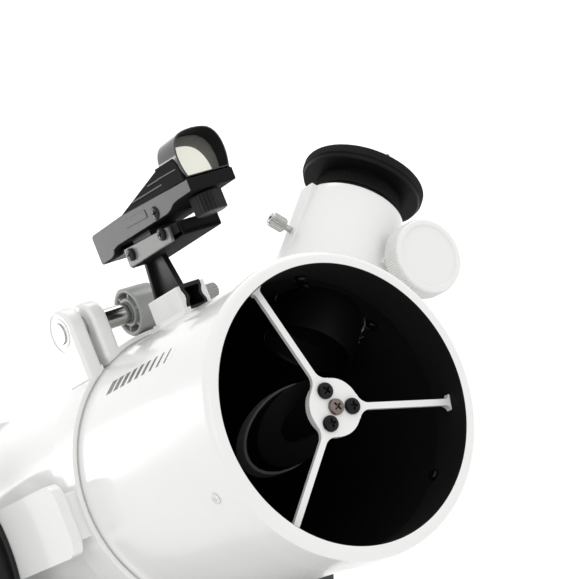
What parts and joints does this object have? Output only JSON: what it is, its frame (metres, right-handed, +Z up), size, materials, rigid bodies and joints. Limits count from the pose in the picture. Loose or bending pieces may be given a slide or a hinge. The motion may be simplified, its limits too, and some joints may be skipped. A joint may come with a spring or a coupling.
{
  "type": "dobsonian telescope",
  "caption": "Tabletop Newtonian reflector with rack focuser, camera adapter ring and red dot finder, held by two hinged clamps between altitude discs on a round rocker base.",
  "frame": {"origin": "on the floor, under the azimuth axis, at the middle of the whole telescope's footprint", "axes": "+Z up along the azimuth axis, the tube points to -Y at 40 degrees altitude, +X is the focuser's side, along the altitude axis"},
  "size_m": [0.34, 0.5266, 0.6298],
  "materials": {
    "white_enamel": "gloss",
    "black_metal": "satin",
    "bright_metal": "polished",
    "rack_metal": "machined",
    "bronze_screw": "satin",
    "black_screw": "gloss",
    "mirror_glass": "polished",
    "black_plastic": "satin",
    "hood_plastic": "gloss",
    "grey_plastic": "satin",
    "grey_plate": "satin",
    "window_glass": "coated",
    "red_led": "gloss",
    "felt": "matte",
    "pad_plastic": "waxy",
    "board_laminate": "satin laminate",
    "foot_rubber": "matte"
  },
  "bodies": {
    "ground": {"ground_board": "board_laminate", "ground_hardware": "bright_metal", "ground_feet": "foot_rubber"},
    "rocker": {"altitude_pads": "pad_plastic", "rocker_sides": "board_laminate", "rocker_front": "board_laminate", "rocker_base": "board_laminate"},
    "optical_tube": {"main_tube": "white_enamel", "front_ring": "white_enamel", "ring_screws": "bright_metal", "spider": "white_enamel", "secondary_center_screw": "bronze_screw", "secondary_screws": "black_screw", "rear_cell": "black_metal", "mirror_plate": "black_metal", "primary_mirror": "mirror_glass", "mirror_clips": "black_plastic", "collimation_springs": "bright_metal", "cell_lock_screws": "black_metal", "focuser_housing": "white_enamel", "focuser_fasteners": "bright_metal", "finder_shoe": "white_enamel", "clamp_front_left": "white_enamel", "clamp_front_right": "white_enamel", "clamp_rear_left": "white_enamel", "clamp_rear_right": "white_enamel", "clamp_hinge_pins": "bright_metal", "clamp_felt": "felt", "side_bar_left": "white_enamel", "side_bar_right": "white_enamel", "altitude_disc_left": "black_plastic", "altitude_disc_right": "black_plastic"},
    "secondary": {"secondary_holder": "black_metal", "secondary_mirror": "mirror_glass"},
    "focus_slide": {"drawtube": "black_metal", "focuser_rack": "rack_metal", "t_adapter_ring": "black_metal", "camera_ring": "black_metal"},
    "focus_shaft": {"pinion_shaft": "bright_metal", "focus_knob_front": "white_enamel", "focus_knob_rear": "white_enamel"},
    "focus_lock": {"focuser_lock_screw": "bright_metal"},
    "finder_mount": {"finder_bracket": "black_plastic", "finder_side_plate": "grey_plate", "finder_screws": "black_screw"},
    "finder_head": {"finder_body": "black_plastic", "finder_hood": "hood_plastic", "finder_window": "window_glass", "finder_led": "red_led", "finder_battery": "bright_metal", "battery_cover": "black_plastic"},
    "finder_dial": {"brightness_wheel": "black_plastic"},
    "shoe_screw": {"shoe_thumbscrew": "grey_plastic"},
    "clamp_hand_front": {"clamp_bolt_front": "bright_metal", "clamp_knob_front": "grey_plastic"},
    "clamp_hand_rear": {"clamp_bolt_rear": "bright_metal", "clamp_knob_rear": "grey_plastic"},
    "collimator_1": {"collimation_knob_1": "black_plastic"},
    "collimator_2": {"collimation_knob_2": "black_plastic"},
    "collimator_3": {"collimation_knob_3": "black_plastic"}
  },
  "joints": [
    {"name": "azimuth", "type": "hinge", "parent": "ground", "child": "rocker", "pos_m": [0, 0, 0.04], "axis": [0, 0, 1], "continuous": true},
    {"name": "altitude", "type": "hinge", "parent": "rocker", "child": "optical_tube", "pos_m": [0, 0, 0.35], "axis": [-1, 0, 0], "range_deg": [-40, 50]},
    {"name": "secondary_turn", "type": "hinge", "parent": "optical_tube", "child": "secondary", "pos_m": [0, -0.16393, 0.48756], "axis": [0, -0.766, 0.6428], "continuous": true},
    {"name": "focus_travel", "type": "slide", "parent": "optical_tube", "child": "focus_slide", "axis": [0.7071, 0.4545, 0.5417], "range_m": [0, 0.038]},
    {"name": "focus_turn", "type": "hinge", "parent": "optical_tube", "child": "focus_shaft", "pos_m": [0.10041, -0.12666, 0.53197], "axis": [0, 0.766, -0.6428], "range_deg": [-5, 500]},
    {"name": "focus_lock_turn", "type": "hinge", "parent": "optical_tube", "child": "focus_lock", "pos_m": [0.05233, -0.09848, 0.56556], "axis": [-0.7071, 0.4545, 0.5417], "range_deg": [0, 720]},
    {"name": "finder_slide", "type": "slide", "parent": "optical_tube", "child": "finder_mount", "axis": [0, -0.766, 0.6428], "range_m": [0, 0.03]},
    {"name": "finder_tilt", "type": "hinge", "parent": "finder_mount", "child": "finder_head", "pos_m": [0, -0.05144, 0.54851], "axis": [1, 0, 0], "range_deg": [-2, 2]},
    {"name": "brightness_turn", "type": "hinge", "parent": "finder_head", "child": "finder_dial", "pos_m": [0, -0.09866, 0.59335], "axis": [0, 0.6428, 0.766], "range_deg": [0, 300]},
    {"name": "shoe_screw_turn", "type": "hinge", "parent": "optical_tube", "child": "shoe_screw", "pos_m": [0.015, -0.08044, 0.5295], "axis": [1, 0, 0], "range_deg": [0, 720]},
    {"name": "clamp_front_turn", "type": "hinge", "parent": "optical_tube", "child": "clamp_hand_front", "pos_m": [0, -0.03207, 0.50158], "axis": [1, 0, 0], "range_deg": [0, 1080]},
    {"name": "clamp_rear_turn", "type": "hinge", "parent": "optical_tube", "child": "clamp_hand_rear", "pos_m": [0, 0.15484, 0.34474], "axis": [1, 0, 0], "range_deg": [0, 1080]},
    {"name": "collimation_1_turn", "type": "hinge", "parent": "optical_tube", "child": "collimator_1", "pos_m": [0, 0.18174, 0.13876], "axis": [0, -0.766, 0.6428], "range_deg": [-360, 360]},
    {"name": "collimation_2_turn", "type": "hinge", "parent": "optical_tube", "child": "collimator_2", "pos_m": [0.03897, 0.22512, 0.19047], "axis": [0, -0.766, 0.6428], "range_deg": [-360, 360]},
    {"name": "collimation_3_turn", "type": "hinge", "parent": "optical_tube", "child": "collimator_3", "pos_m": [-0.03897, 0.22512, 0.19047], "axis": [0, -0.766, 0.6428], "range_deg": [-360, 360]}
  ],
  "couplings": [
    {"joint": "focus_turn", "follows": "focus_travel", "rad_per_m": 227.27}
  ]
}
